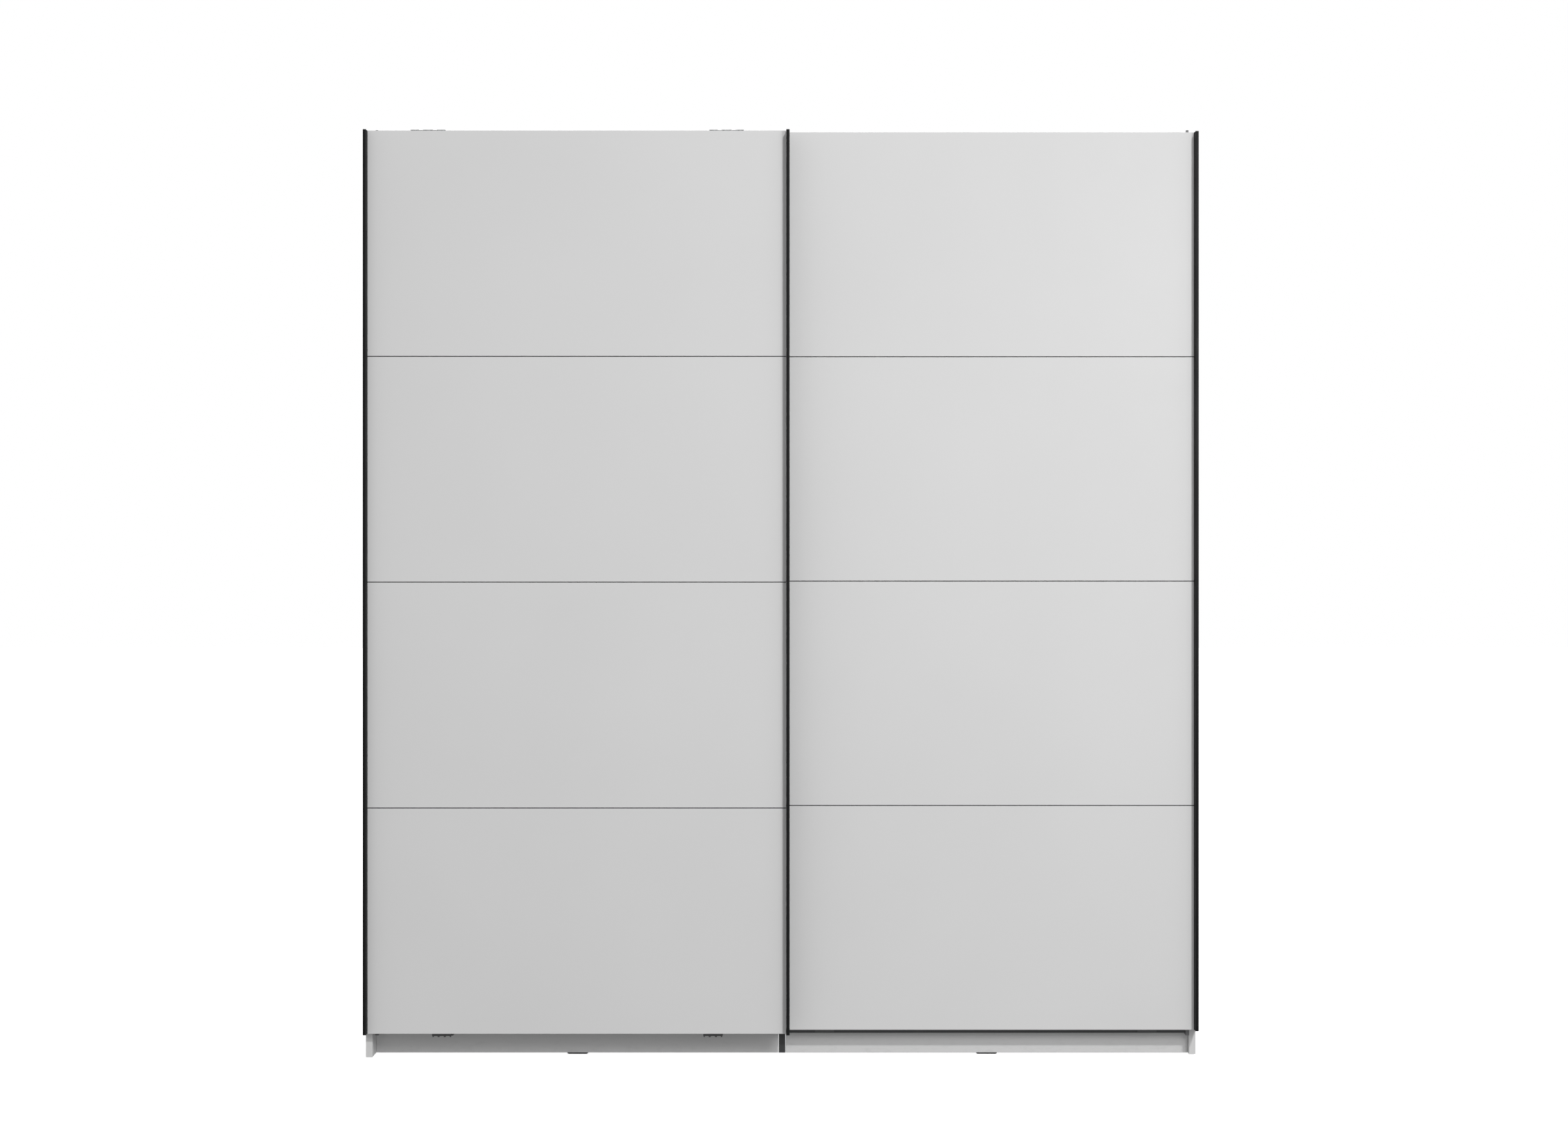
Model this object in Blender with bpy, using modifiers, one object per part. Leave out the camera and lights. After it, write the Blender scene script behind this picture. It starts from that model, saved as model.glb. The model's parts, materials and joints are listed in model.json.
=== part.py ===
"""Two-door sliding wardrobe: a white case on glides, with two doors that hang from a top running rail.

Metres, +Z up, the front faces -Y. The origin is on the floor, in the middle of the footprint.
The left door runs on the front track and the right door on the rear track.
"""
import math

import bmesh
import bpy

MM = 0.001
GAP = 0.3 * MM                  # between meshes that touch

# ---- driving dimensions -------------------------------------------------------------------------------
WIDTH = 2000 * MM               # over the closed doors
DEPTH = 680 * MM                # from the front of the grips to the back
BOARD = 16 * MM                 # every white board
CASE_WIDTH = 1998 * MM          # over the side panels
FOOT = 3.5 * MM                 # the glides hold the boards this high
SIDE_TOP = 2218 * MM
TOP_BOARD_TOP = 2185 * MM
PLINTH_TOP = 47.5 * MM

DOOR_HEIGHT = 2160 * MM
DOOR_OVERLAP = 36 * MM          # of the two closed doors, at the middle
DOOR_PITCH = 37 * MM            # from one door's plane to the other's
FRONT_DOOR_BOTTOM = 63.5 * MM
REAR_DOOR_BOTTOM = 66 * MM
FIELDS = 4                      # equal fields of a door
FIELD_LINE = 2 * MM             # groove between two fields
FIELD_LINE_DEPTH = 1.5 * MM
GRIP_WIDTH = 8 * MM
GRIP_PROUD = 19 * MM            # of the door's face
DOOR_TRAVEL = 864 * MM
SIDE_GAP = 4 * MM               # from a door's back to the side panel behind it

CARRIAGE_WIDTH = 83 * MM
CARRIAGE_INSET = 151 * MM       # from a door's edge to the middle of its carriage
WHEEL_RADIUS = 14 * MM
WHEEL_ROOT = 12 * MM            # radius at the bottom of the wheel's groove
WHEEL_WIDTH = 10 * MM
WHEEL_SPACING = 46 * MM         # of a carriage's two wheels
AXLE_RADIUS = 3 * MM

# ---- places worked out from them ----------------------------------------------------------------------
FRONT = -DEPTH / 2
BACK = DEPTH / 2
CASE_HALF = CASE_WIDTH / 2
INNER_HALF = CASE_HALF - BOARD
FRONT_DOOR_FACE = FRONT + GRIP_PROUD
FRONT_DOOR_BACK = FRONT_DOOR_FACE + BOARD
REAR_DOOR_FACE = FRONT_DOOR_FACE + DOOR_PITCH
REAR_DOOR_BACK = REAR_DOOR_FACE + BOARD
BOARD_FRONT = -246 * MM         # front edge of the top boards and bottom boards
BOARD_BACK = 330 * MM
PLINTH_FRONT = -244.5 * MM
TRIM_BACK = -243.6 * MM         # back of the partition's edge trim
RAIL_BACK = BOARD_FRONT - GAP
FRONT_TRACK_Y = -255 * MM       # rib that carries the rear door
REAR_TRACK_Y = -222 * MM        # rib that carries the front door
FRONT_RIB_TOP = 2196 * MM
REAR_RIB_TOP = 2203 * MM

SIDES = (("left", -1), ("right", 1))
PARTS = bpy.data.collections.new("sliding_door_wardrobe")
CUTTERS = bpy.data.collections.new("cutters")

COLOURS = {                     # colour, roughness, metallic
    "white_board": ((0.80, 0.80, 0.80), 0.5, 0.0),
    "graphite_profile": ((0.025, 0.026, 0.028), 0.35, 0.6),
    "steel": ((0.45, 0.46, 0.47), 0.35, 1.0),
    "aluminium": ((0.55, 0.56, 0.57), 0.4, 1.0),
    "grey_plastic": ((0.22, 0.22, 0.23), 0.5, 0.0),
    "dark_plastic": ((0.02, 0.02, 0.022), 0.5, 0.0),
    "backing": ((0.75, 0.75, 0.74), 0.7, 0.0),
}


# ---- helpers ------------------------------------------------------------------------------------------
def clear_scene():
    for thing in list(bpy.data.objects):
        bpy.data.objects.remove(thing, do_unlink=True)
    bpy.context.scene.collection.children.link(PARTS)
    bpy.context.scene.collection.children.link(CUTTERS)


def material_for(name, finish):
    colour, roughness, metallic = COLOURS[finish]
    material = bpy.data.materials.new(name + "_" + finish)
    material.use_nodes = True
    shader = material.node_tree.nodes["Principled BSDF"]
    shader.inputs["Base Color"].default_value = (*colour, 1.0)
    shader.inputs["Roughness"].default_value = roughness
    shader.inputs["Metallic"].default_value = metallic
    material.diffuse_color = (*colour, 1.0)
    return material


def add_object(name, data, finish):
    piece = bpy.data.objects.new(name, data)
    piece.data.materials.append(material_for(name, finish))
    PARTS.objects.link(piece)
    return piece


def hide_as_tool(thing):
    """Keep a shape that cuts or joins others out of the model."""
    thing.hide_render = True
    thing.display_type = "WIRE"
    CUTTERS.objects.link(thing)


def combine(piece, tool, operation):
    step = piece.modifiers.new(tool.name, "BOOLEAN")
    step.operation = operation
    step.solver = "EXACT"
    step.object = tool


def box_mesh(name, low, high, middle):
    """A box between two corners, in a mesh whose origin is the given middle."""
    mesh = bpy.data.meshes.new(name)
    shape = bmesh.new()
    bmesh.ops.create_cube(shape, size=1.0)
    for vertex in shape.verts:
        for axis in range(3):
            span = high[axis] - low[axis]
            vertex.co[axis] = (low[axis] + high[axis]) / 2 - middle[axis] + vertex.co[axis] * span
    shape.to_mesh(mesh)
    shape.free()
    return mesh


def box(name, low, high, finish, parent=None, bevel=0.0, segments=2):
    """A board or a block between its lowest and highest corners."""
    middle = [(a + b) / 2 for a, b in zip(low, high)]
    piece = add_object(name, box_mesh(name, low, high, middle), finish)
    piece.location = middle
    if bevel:
        edge = piece.modifiers.new("edges", "BEVEL")
        edge.width = bevel
        edge.segments = segments
        edge.limit_method = "ANGLE"
    adopt(piece, parent)
    return piece


def adopt(piece, parent):
    """Parent a piece that is already in its place."""
    if parent:
        piece.parent = parent
        piece.matrix_parent_inverse.identity()
        piece.location = [a - b for a, b in zip(piece.location, parent.location)]


def cut(piece, name, low, high):
    """Cut a box out of a piece."""
    middle = [(a + b) / 2 for a, b in zip(low, high)]
    cutter = bpy.data.objects.new(name, box_mesh(name, low, high, middle))
    cutter.location = middle
    hide_as_tool(cutter)
    combine(piece, cutter, "DIFFERENCE")


def profile_bar(name, outlines, centre_x, length, finish, parent=None):
    """Outlines in the YZ plane, drawn out along X. A second outline inside the first is a hole."""
    curve = bpy.data.curves.new(name, "CURVE")
    curve.dimensions = "2D"
    curve.fill_mode = "BOTH"
    curve.extrude = length / 2
    for outline in outlines:
        spline = curve.splines.new("POLY")
        spline.points.add(len(outline) - 1)
        for point, (y, z) in zip(spline.points, outline):
            point.co = (y, z, 0.0, 1.0)
        spline.use_cyclic_u = True
    piece = add_object(name, curve, finish)
    piece.rotation_euler = (math.pi / 2, 0.0, math.pi / 2)
    piece.location = (centre_x, 0.0, 0.0)
    adopt(piece, parent)
    return piece


def outline_mesh(name, profile, closed):
    """A turned shape's profile, as edges in the XZ plane."""
    mesh = bpy.data.meshes.new(name)
    shape = bmesh.new()
    points = [shape.verts.new((radius, 0.0, height)) for radius, height in profile]
    for point, following in zip(points, points[1:]):
        shape.edges.new((point, following))
    if closed:
        shape.edges.new((points[-1], points[0]))
    shape.to_mesh(mesh)
    shape.free()
    return mesh


def turn(piece, steps):
    """Turn a profile about local Z, and lay local Z along +Y."""
    screw = piece.modifiers.new("turned", "SCREW")
    screw.axis = "Z"
    screw.steps = steps
    screw.render_steps = steps
    screw.use_merge_vertices = True
    screw.merge_threshold = 0.01 * MM
    piece.rotation_euler = (-math.pi / 2, 0.0, 0.0)


def mesh_from_curve(curve_piece):
    """A mesh object in place of a curve object, welded, so that it can be cut or joined."""
    bpy.context.view_layer.update()
    evaluated = curve_piece.evaluated_get(bpy.context.evaluated_depsgraph_get())
    mesh = bpy.data.meshes.new_from_object(evaluated)
    shape = bmesh.new()
    shape.from_mesh(mesh)
    bmesh.ops.remove_doubles(shape, verts=shape.verts, dist=0.01 * MM)
    bmesh.ops.recalc_face_normals(shape, faces=shape.faces)
    shape.to_mesh(mesh)
    shape.free()
    name = curve_piece.name
    place = curve_piece.matrix_world.copy()
    bpy.data.objects.remove(curve_piece, do_unlink=True)
    solid = bpy.data.objects.new(name, mesh)
    solid.matrix_world = place
    PARTS.objects.link(solid)
    return solid


def empty_at(name, location):
    """The empty that a moving door's pieces hang on."""
    anchor = bpy.data.objects.new(name, None)
    anchor.location = location
    PARTS.objects.link(anchor)
    bpy.context.view_layer.update()
    return anchor


# ---- case ---------------------------------------------------------------------------------------------
def make_case_boards():
    left_front = FRONT_DOOR_BACK + SIDE_GAP
    right_front = REAR_DOOR_BACK + SIDE_GAP
    box("side_panel_left", (-CASE_HALF, left_front, FOOT), (-INNER_HALF, BACK, SIDE_TOP), "white_board")
    box("side_panel_right", (INNER_HALF, right_front, FOOT), (CASE_HALF, BACK, SIDE_TOP), "white_board")
    half = BOARD / 2
    box("centre_partition", (-half, TRIM_BACK + GAP, FOOT), (half, BOARD_BACK, TOP_BOARD_TOP), "white_board")
    box("partition_front_trim", (-half, BOARD_FRONT, FOOT), (half, TRIM_BACK, TOP_BOARD_TOP),
        "graphite_profile")
    for side, sign in SIDES:
        inner, outer = sorted((sign * (half + GAP), sign * (INNER_HALF - GAP)))
        box("bottom_board_" + side, (inner, BOARD_FRONT, PLINTH_TOP),
            (outer, BOARD_BACK, PLINTH_TOP + BOARD), "white_board")
        box("top_board_" + side, (inner, BOARD_FRONT, TOP_BOARD_TOP - BOARD),
            (outer, BOARD_BACK, TOP_BOARD_TOP), "white_board")


def make_plinths():
    joint = 1 * MM              # open joint between a plinth and the partition
    for side, sign in SIDES:
        low, high = sorted((sign * (BOARD / 2 + joint), sign * (INNER_HALF - GAP)))
        box("plinth_" + side, (low, PLINTH_FRONT, FOOT), (high, PLINTH_FRONT + BOARD, PLINTH_TOP - GAP),
            "white_board")


def make_back_panels():
    thickness = 3 * MM
    joint = 0.5 * MM
    front = BOARD_BACK + GAP
    for side, sign in SIDES:
        low, high = sorted((sign * joint, sign * (INNER_HALF - GAP)))
        box("back_panel_" + side, (low, front, PLINTH_TOP), (high, front + thickness, TOP_BOARD_TOP),
            "backing")


SHELF_TOP = 1916 * MM
SHELF_SETBACK = 16 * MM         # behind the front edge of the top board
RAIL_HEIGHT = 1835 * MM         # middle of the clothes rail
RAIL_DEPTH = 42 * MM            # its place from front to back
HANGER_TUBE_HEIGHT = 30 * MM
HANGER_TUBE_WIDTH = 15 * MM
HANGER_TUBE_WALL = 1.2 * MM
CUP_DEPTH = 10 * MM             # the cups that hold the clothes rails' ends
CUP_PLATE = 3 * MM
CUP_RIM = 6 * MM


def make_shelves():
    for side, sign in SIDES:
        low, high = sorted((sign * (BOARD / 2 + GAP), sign * (INNER_HALF - GAP)))
        box("shelf_" + side, (low, BOARD_FRONT + SHELF_SETBACK, SHELF_TOP - BOARD),
            (high, BOARD_BACK - GAP, SHELF_TOP), "white_board")


def oval(width, height, centre_y, centre_z, steps=10):
    """A flat-sided oval outline in the YZ plane, round at its top and bottom."""
    radius = width / 2
    straight = height / 2 - radius
    points = []
    for end, start in ((1, 0.0), (-1, math.pi)):
        for step in range(steps + 1):
            angle = start + math.pi * step / steps
            points.append((centre_y + radius * math.cos(angle),
                           centre_z + end * straight + radius * math.sin(angle)))
    return points


def tube_outline(offset):
    """The clothes rail's outside, moved outwards by an offset."""
    return oval(HANGER_TUBE_WIDTH + 2 * offset, HANGER_TUBE_HEIGHT + 2 * offset, RAIL_DEPTH, RAIL_HEIGHT)


def make_clothes_rails():
    """An oval steel tube in each compartment, held by a cup with a plate at each end."""
    for side, sign in SIDES:
        inner = BOARD / 2 + GAP
        outer = INNER_HALF - GAP
        tube_inner = inner + CUP_PLATE + GAP
        tube_outer = outer - CUP_PLATE - GAP
        profile_bar("clothes_rail_" + side, [tube_outline(0.0), tube_outline(-HANGER_TUBE_WALL)],
                    sign * (tube_inner + tube_outer) / 2, tube_outer - tube_inner, "steel")
        for end, wall_x, inward in (("inner", inner, 1), ("outer", outer, -1)):
            make_rail_cup("rail_cup_" + side + "_" + end, sign * wall_x, sign * inward)


def make_rail_cup(name, wall_x, direction):
    """An oval cup that is open towards the tube; direction is the way that it opens along X."""
    cup = profile_bar(name, [tube_outline(CUP_RIM)], wall_x + direction * CUP_DEPTH / 2, CUP_DEPTH,
                      "grey_plastic")
    cup = mesh_from_curve(cup)
    hole = profile_bar(name + "_hole", [tube_outline(GAP)], wall_x + direction * (CUP_PLATE + CUP_DEPTH / 2),
                       CUP_DEPTH, "grey_plastic")
    hole = mesh_from_curve(hole)
    PARTS.objects.unlink(hole)
    hide_as_tool(hole)
    combine(cup, hole, "DIFFERENCE")


GLIDE_LENGTH = 50 * MM
GLIDE_ROUND = 1.5 * MM
PLINTH_GLIDE_HALF = 7 * MM      # half the width of the plinths' glides
PANEL_GLIDE_HALF = 6 * MM       # and of those under the upright panels
FRONT_GLIDE_Y = -190 * MM
BACK_GLIDE_Y = 290 * MM


def glide(name, centre, half_x, half_y):
    x, y = centre
    box(name, (x - half_x, y - half_y, 0.0), (x + half_x, y + half_y, FOOT - GAP), "dark_plastic", None,
        GLIDE_ROUND)


def make_glides():
    half = GLIDE_LENGTH / 2
    plinth_middle = (BOARD / 2 + INNER_HALF) / 2
    panel_middle = CASE_HALF - BOARD / 2
    for side, sign in SIDES:
        glide("plinth_glide_" + side, (sign * plinth_middle, PLINTH_FRONT + BOARD / 2), half,
              PLINTH_GLIDE_HALF)
        for place, glide_y in (("front", FRONT_GLIDE_Y), ("back", BACK_GLIDE_Y)):
            glide("side_glide_%s_%s" % (side, place), (sign * panel_middle, glide_y), PANEL_GLIDE_HALF, half)
    glide("partition_glide", (0.0, BACK_GLIDE_Y), PANEL_GLIDE_HALF, half)


# ---- rails --------------------------------------------------------------------------------------------
TOP_RAIL_FRONT = -262 * MM
TOP_RAIL_BACK = -200 * MM
TOP_RAIL_TOP = 2212 * MM        # of the flange at its back
TOP_STOP = 6 * MM               # thickness of the top rail's end stops
TOP_STOP_FRONT = -259 * MM
TOP_STOP_TAB = 6 * MM           # depth of the tab at their front
TOP_STOP_TOP = 2236 * MM        # of the tab; the rest is as high as the rail's flange
BOTTOM_STOP = 8.7 * MM          # and of the bottom rail's
STOP_CHAMFER = 1 * MM
BOTTOM_RAIL_FRONT = -266 * MM
BOTTOM_RAIL_BOTTOM = 55.4 * MM
BOTTOM_RAIL_TOP = 75 * MM
BOTTOM_STOP_BOTTOM = 49 * MM
RAIL_WALL = 2.5 * MM
RIB = 3 * MM


def make_top_rail():
    """A flat base on the top boards, with a low rib, a high rib and a back flange."""
    base = TOP_BOARD_TOP + GAP
    floor = base + RAIL_WALL
    outline = [(TOP_RAIL_FRONT, base), (TOP_RAIL_BACK, base), (TOP_RAIL_BACK, TOP_RAIL_TOP),
               (TOP_RAIL_BACK - RAIL_WALL, TOP_RAIL_TOP), (TOP_RAIL_BACK - RAIL_WALL, floor)]
    chamfer = 0.6 * MM
    for track_y, top in ((REAR_TRACK_Y, REAR_RIB_TOP), (FRONT_TRACK_Y, FRONT_RIB_TOP)):
        outline += [(track_y + RIB / 2, floor), (track_y + RIB / 2, top - chamfer),
                    (track_y + RIB / 2 - chamfer, top), (track_y - RIB / 2 + chamfer, top),
                    (track_y - RIB / 2, top - chamfer), (track_y - RIB / 2, floor)]
    outline.append((TOP_RAIL_FRONT, floor))
    end = INNER_HALF - GAP - TOP_STOP - GAP
    profile_bar("top_running_rail", [outline], 0.0, 2 * end, "aluminium")
    tab_back = TOP_STOP_FRONT + TOP_STOP_TAB
    stop = [(TOP_STOP_FRONT, base), (TOP_RAIL_BACK, base), (TOP_RAIL_BACK, TOP_RAIL_TOP),
            (tab_back, TOP_RAIL_TOP), (tab_back, TOP_STOP_TOP), (TOP_STOP_FRONT, TOP_STOP_TOP)]
    for side, sign in SIDES:
        centre_x = sign * (end + GAP + TOP_STOP / 2)
        profile_bar("top_end_stop_" + side, [stop], centre_x, TOP_STOP, "grey_plastic")


def make_bottom_rail():
    """A profile whose front groove opens upwards, for the rear door, and whose rear one opens downwards."""
    middle = (BOTTOM_RAIL_FRONT + RAIL_BACK - RAIL_WALL) / 2
    floor = BOTTOM_RAIL_BOTTOM + RAIL_WALL
    ceiling = BOTTOM_RAIL_TOP - RAIL_WALL
    outline = [(BOTTOM_RAIL_FRONT, BOTTOM_RAIL_BOTTOM), (middle + RAIL_WALL, BOTTOM_RAIL_BOTTOM),
               (middle + RAIL_WALL, ceiling), (RAIL_BACK - RAIL_WALL, ceiling),
               (RAIL_BACK - RAIL_WALL, BOTTOM_RAIL_BOTTOM), (RAIL_BACK, BOTTOM_RAIL_BOTTOM),
               (RAIL_BACK, BOTTOM_RAIL_TOP), (middle, BOTTOM_RAIL_TOP), (middle, floor),
               (BOTTOM_RAIL_FRONT + RAIL_WALL, floor), (BOTTOM_RAIL_FRONT + RAIL_WALL, BOTTOM_RAIL_TOP),
               (BOTTOM_RAIL_FRONT, BOTTOM_RAIL_TOP)]
    end = INNER_HALF - GAP - BOTTOM_STOP - GAP
    profile_bar("bottom_guide_rail", [outline], 0.0, 2 * end, "graphite_profile")
    for side, sign in SIDES:
        low, high = sorted((sign * (end + GAP), sign * (INNER_HALF - GAP)))
        box("bottom_end_stop_" + side, (low, BOTTOM_RAIL_FRONT, BOTTOM_STOP_BOTTOM),
            (high, RAIL_BACK, BOTTOM_RAIL_TOP), "grey_plastic", None, STOP_CHAMFER, 1)


TRACK_STOP_PLAY = 2.5 * MM      # from a carriage at the end of its travel
TRACK_STOP_LENGTH = 14 * MM
TRACK_STOP_HALF = 6 * MM        # half its width
TRACK_STOP_GRIP = 7 * MM        # how far it reaches down a rib
TRACK_STOP_RISE = 16 * MM       # how far it stands above the rib


def make_track_stops():
    """Clips that straddle the ribs, where the doors' carriages end their travel."""
    rest_end = WIDTH / 2 - CARRIAGE_INSET + CARRIAGE_WIDTH / 2
    far_end = DOOR_OVERLAP / 2 - CARRIAGE_INSET + CARRIAGE_WIDTH / 2 + DOOR_TRAVEL
    tracks = (("front_door", REAR_TRACK_Y, REAR_RIB_TOP, -1), ("rear_door", FRONT_TRACK_Y, FRONT_RIB_TOP, 1))
    for door, track_y, top, side in tracks:
        for end, distance, sign in (("closed", rest_end, side), ("open", far_end, -side)):
            centre_x = sign * (distance + TRACK_STOP_PLAY + TRACK_STOP_LENGTH / 2)
            base, peak = top - TRACK_STOP_GRIP, top + TRACK_STOP_RISE
            slot = RIB / 2 + GAP
            half = TRACK_STOP_HALF
            outline = [(-half, base), (-slot, base), (-slot, top + GAP), (slot, top + GAP), (slot, base),
                       (half, base), (half, peak), (-half, peak)]
            profile_bar("track_stop_%s_%s" % (door, end), [[(track_y + y, z) for y, z in outline]], centre_x,
                        TRACK_STOP_LENGTH, "grey_plastic")


# ---- doors --------------------------------------------------------------------------------------------
SPILL = 1 * MM                  # how far a cut reaches past the face that it starts from
POCKET_DEPTH = 3.5 * MM         # pockets in a door's back
GUIDE_POCKET = 43 * MM          # height of the pocket for a guide
GRIP_CHAMFER = 0.8 * MM


def make_door(door, left, right, face, bottom, anchor, back_pockets):
    """A panel with shallow field lines between two grip profiles; pockets are cut in its back."""
    top = bottom + DOOR_HEIGHT
    panel_left = left + GRIP_WIDTH + GAP
    panel_right = right - GRIP_WIDTH - GAP
    back = face + BOARD
    panel = box(door + "_panel", (panel_left, face, bottom), (panel_right, back, top), "white_board", anchor)
    for line in range(1, FIELDS):
        height = bottom + DOOR_HEIGHT * line / FIELDS
        cut(panel, "%s_line_%d" % (door, line),
            (panel_left - SPILL, face - SPILL, height - FIELD_LINE / 2),
            (panel_right + SPILL, face + FIELD_LINE_DEPTH, height + FIELD_LINE / 2))
    for index, (centre, half, low, high) in enumerate(back_pockets):
        cut(panel, "%s_pocket_%d" % (door, index), (centre - half, back - POCKET_DEPTH, low),
            (centre + half, back + SPILL, high))
    for side, low_x, high_x in (("left", left, left + GRIP_WIDTH), ("right", right - GRIP_WIDTH, right)):
        box("%s_grip_%s" % (door, side), (low_x, face - GRIP_PROUD, bottom), (high_x, back, top),
            "graphite_profile", anchor, GRIP_CHAMFER, 1)


GUIDE_WIDTH = 46 * MM
FRONT_GUIDE_INSET = 184 * MM    # from a door's edge to the middle of its guide
REAR_GUIDE_INSET = 120 * MM
GUIDE_SEAT = 3.2 * MM           # depth of a guide's plate face in the door's pocket
GUIDE_PLATE = 2.8 * MM
FRONT_GUIDE_TOP = 105 * MM
REAR_GUIDE_TOP = 108 * MM
REAR_GUIDE_BOTTOM = 57.5 * MM
TONGUE = 4 * MM                 # the part that runs in the bottom rail
TONGUE_PLAY = 1 * MM
FRONT_TONGUE_TOP = 68 * MM
REAR_TONGUE_BOTTOM = 60 * MM
GUIDE_WALL = 1.7 * MM           # of the arm from the plate to the tongue
REAR_ARM_RISE = 0.9 * MM        # of the rear guides' arm over the rail
ARM_DROP_START = -279 * MM      # where the front guides' arm steps down
ARM_DROP_END = -276.5 * MM
FRONT_ARM_BOTTOM = 53.1 * MM    # under the front door
FRONT_ARM_LOW = 50.6 * MM       # under the rear door's guides
FRONT_ARM_TOP = 56 * MM
ARM_SLANT = 1 * MM              # from the step on its lower face to the one on its upper face


def front_guide_outline():
    """Down the front door's back, below the rear door, and up into the rail's rear groove."""
    plate_front = FRONT_DOOR_BACK - GUIDE_SEAT
    plate_back = plate_front + GUIDE_PLATE
    tongue_back = RAIL_BACK - RAIL_WALL - TONGUE_PLAY
    tongue_front = tongue_back - TONGUE
    low_top = FRONT_ARM_LOW + GUIDE_WALL
    return [(plate_front, FRONT_ARM_BOTTOM), (ARM_DROP_START, FRONT_ARM_BOTTOM),
            (ARM_DROP_END, FRONT_ARM_LOW), (tongue_back, FRONT_ARM_LOW), (tongue_back, FRONT_TONGUE_TOP),
            (tongue_front, FRONT_TONGUE_TOP), (tongue_front, low_top), (ARM_DROP_END + ARM_SLANT, low_top),
            (ARM_DROP_START + ARM_SLANT, FRONT_ARM_TOP), (plate_back, FRONT_ARM_TOP),
            (plate_back, FRONT_GUIDE_TOP), (plate_front, FRONT_GUIDE_TOP)]


def rear_guide_outline():
    """On the rear door's back, with an arm over the rail's front wall and down into its front groove."""
    plate_front = REAR_DOOR_BACK - GUIDE_SEAT
    plate_back = plate_front + GUIDE_PLATE
    tongue_front = BOTTOM_RAIL_FRONT + RAIL_WALL + TONGUE_PLAY
    tongue_back = tongue_front + TONGUE
    arm_bottom = BOTTOM_RAIL_TOP + REAR_ARM_RISE
    arm_top = arm_bottom + GUIDE_WALL
    return [(plate_front, REAR_GUIDE_BOTTOM), (plate_back, REAR_GUIDE_BOTTOM), (plate_back, arm_bottom),
            (tongue_front, arm_bottom), (tongue_front, REAR_TONGUE_BOTTOM),
            (tongue_back, REAR_TONGUE_BOTTOM), (tongue_back, arm_top), (plate_back, arm_top),
            (plate_back, REAR_GUIDE_TOP), (plate_front, REAR_GUIDE_TOP)]


WHEEL_EDGE = 0.6 * MM           # chamfer of a wheel's rim
GROOVE_MOUTH = 3 * MM           # half the width of its groove at the rim
GROOVE_FLOOR = 2 * MM           # and at the root
PLATE = 3 * MM                  # steel plate of the carriages
PLATE_BOTTOM = 2140 * MM
REAR_PLATE_TOP = 2223 * MM
FRONT_PLATE_SEAT = 3.2 * MM     # depth of a front carriage's plate in the door's pocket
ARM_BOTTOM = 2226.5 * MM        # arms of the front door's carriages, over the rear door
ARM_TOP = 2228 * MM
DROP_BOTTOM = 2206 * MM         # bottom of the plate behind the rear door
DROP_TO_TRACK = 12 * MM         # from the drop plate's face to the track
SLOT_INNER = 12 * MM            # slots between the arms, from the carriage's middle
SLOT_OUTER = 21.5 * MM
SLOT_END = 6 * MM               # from the slots to the drop plate
NOTCH_BOTTOM = 2227 * MM        # of the shallow notches in the plate's top, in front of the slots
AXLE_ROOT = 1.5 * MM            # how deep an axle starts inside its plate
AXLE_HEAD = 2 * MM              # how far its head stands out, around and along it


def axle_height(rib_top):
    """The height of an axle whose wheel runs on a rib."""
    return rib_top + WHEEL_ROOT + GAP


def make_wheel(name, centre, anchor):
    """A grooved wheel, turned about local Z, which lies along Y."""
    half = WHEEL_WIDTH / 2
    bore = AXLE_RADIUS + GAP
    side = [(bore, half), (WHEEL_RADIUS - WHEEL_EDGE, half), (WHEEL_RADIUS, half - WHEEL_EDGE),
            (WHEEL_RADIUS, GROOVE_MOUTH), (WHEEL_ROOT, GROOVE_FLOOR)]
    profile = side + [(radius, -along) for radius, along in reversed(side)]
    wheel = add_object(name, outline_mesh(name, profile, True), "dark_plastic")
    turn(wheel, 28)
    wheel.location = centre
    adopt(wheel, anchor)


def add_axles(carriage, centre_x, plate_back, centre_z, track_y):
    """Two axles along +Y, from inside the plate to just past the wheels, with a head on each."""
    start = plate_back - AXLE_ROOT
    length = track_y + WHEEL_WIDTH / 2 + GAP - start
    head = AXLE_RADIUS + AXLE_HEAD
    head_end = length + AXLE_HEAD
    profile = [(0.0, head_end), (head, head_end), (head, length), (AXLE_RADIUS, length),
               (AXLE_RADIUS, 0.0), (0.0, 0.0)]
    for side, sign in SIDES:
        name = "%s_axle_%s" % (carriage.name, side)
        axle = bpy.data.objects.new(name, outline_mesh(name, profile, False))
        turn(axle, 24)
        axle.location = (centre_x + sign * WHEEL_SPACING / 2, start, centre_z)
        hide_as_tool(axle)
        combine(carriage, axle, "UNION")


def make_rear_carriage(name, centre_x, anchor):
    """A steel plate on the rear door's back, whose wheels run on the front rib."""
    half = CARRIAGE_WIDTH / 2
    low_y = REAR_DOOR_BACK + GAP
    high_y = low_y + PLATE
    centre_z = axle_height(FRONT_RIB_TOP)
    plate = box(name, (centre_x - half, low_y, PLATE_BOTTOM), (centre_x + half, high_y, REAR_PLATE_TOP),
                "steel")
    add_axles(plate, centre_x, high_y, centre_z, FRONT_TRACK_Y)
    adopt(plate, anchor)


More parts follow.
